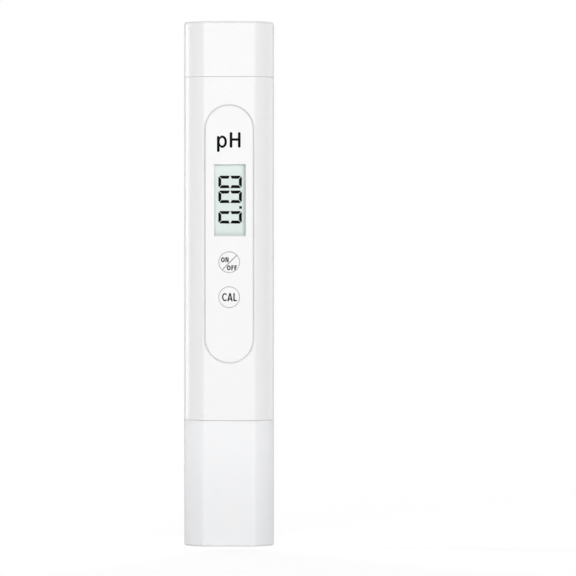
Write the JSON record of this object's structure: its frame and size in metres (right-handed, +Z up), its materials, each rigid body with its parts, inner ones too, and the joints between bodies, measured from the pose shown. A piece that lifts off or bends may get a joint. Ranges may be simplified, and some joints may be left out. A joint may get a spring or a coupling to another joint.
{
  "type": "pen ph meter",
  "caption": "Pen-type pH meter: octagonal casing with a side-reading display and round keys, pull-off battery cap, and a glass-bulb electrode under a pull-off frosted probe cap.",
  "frame": {"origin": "centre of the probe cap's base, which the pen stands on", "axes": "+Z up along the pen, from the probe cap to the battery cap; the display side faces -Y; +X to the right seen from the display side"},
  "size_m": [0.0266, 0.017, 0.155],
  "materials": {
    "white_casing": "gloss moulded ABS",
    "white_panel": "smooth satin",
    "frosted_cap": "frosted, slightly translucent",
    "white_key": "satin",
    "sponge": "open cell foam",
    "polarizer": "pale green-grey film",
    "display_glass": "clear",
    "contact_rubber": "layered conductive silicone",
    "inner_plastic": "moulded",
    "switch_housing": "moulded nylon",
    "switch_plunger": "moulded",
    "circuit_board": "solder mask",
    "chip_resin": "epoxy",
    "ceramic_chip": "fired ceramic",
    "nickel_plate": "nickel plated",
    "cell_steel": "nickel plated steel",
    "screw_steel": "zinc plated",
    "seal_rubber": "nitrile",
    "electrode_plastic": "moulded",
    "guard_plastic": "moulded",
    "sensor_glass": "clear",
    "porous_ceramic": "porous ceramic",
    "silver": "silver, silver chloride coated",
    "lead_insulation": "PVC insulation"
  },
  "bodies": {
    "meter_body": {"front_shell": "white_casing", "rear_shell": "white_casing", "front_panel": "white_panel", "lcd_front_polarizer": "polarizer", "lcd_reflector": "polarizer", "lcd_front_glass": "display_glass", "lcd_rear_glass": "display_glass", "zebra_strip_left": "contact_rubber", "zebra_strip_right": "contact_rubber", "lcd_frame": "inner_plastic", "battery_holder": "inner_plastic", "probe_collar": "inner_plastic", "power_switch_housing": "switch_housing", "calibration_switch_housing": "switch_housing", "main_board": "circuit_board", "controller_chip": "chip_resin", "amplifier_chip": "chip_resin", "surface_resistors": "chip_resin", "surface_capacitors": "ceramic_chip", "crystal_can": "nickel_plate", "battery_contact": "nickel_plate", "battery_spring": "nickel_plate", "battery_cell_lower": "cell_steel", "battery_cell_upper": "cell_steel", "shell_screws": "screw_steel", "board_screws": "screw_steel", "battery_cap_seal": "seal_rubber", "probe_cap_seal": "seal_rubber", "electrode_ring": "seal_rubber", "electrode_tube": "electrode_plastic", "electrode_end_plug": "electrode_plastic", "electrode_top_plug": "electrode_plastic", "probe_guard": "guard_plastic", "glass_bulb": "sensor_glass", "reference_junction": "porous_ceramic", "sensing_wire": "silver", "reference_wire": "silver", "sensor_leads": "lead_insulation", "battery_leads": "lead_insulation"},
    "probe_cap": {"probe_cap": "frosted_cap", "soaking_sponge": "sponge"},
    "battery_cap": {"battery_cap": "white_casing"},
    "power_button": {"power_button": "white_key"},
    "power_plunger": {"power_switch_plunger": "switch_plunger"},
    "calibration_button": {"calibration_button": "white_key"},
    "calibration_plunger": {"calibration_switch_plunger": "switch_plunger"}
  },
  "joints": [
    {"name": "probe_cap_pull", "type": "slide", "parent": "probe_cap", "child": "meter_body", "axis": [0, 0, 1], "range_m": [0, 0.045]},
    {"name": "battery_cap_pull", "type": "slide", "parent": "meter_body", "child": "battery_cap", "axis": [0, 0, 1], "range_m": [0, 0.02]},
    {"name": "power_button_press", "type": "slide", "parent": "meter_body", "child": "power_button", "axis": [0, 1, 0], "range_m": [0, 0.0003], "stiffness_N_per_m": 5000},
    {"name": "power_plunger_press", "type": "slide", "parent": "meter_body", "child": "power_plunger", "axis": [0, 1, 0], "range_m": [0, 0.0003]},
    {"name": "calibration_button_press", "type": "slide", "parent": "meter_body", "child": "calibration_button", "axis": [0, 1, 0], "range_m": [0, 0.0003], "stiffness_N_per_m": 5000},
    {"name": "calibration_plunger_press", "type": "slide", "parent": "meter_body", "child": "calibration_plunger", "axis": [0, 1, 0], "range_m": [0, 0.0003]}
  ],
  "couplings": [
    {"joint": "power_plunger_press", "follows": "power_button_press", "ratio": 1},
    {"joint": "calibration_plunger_press", "follows": "calibration_button_press", "ratio": 1}
  ]
}
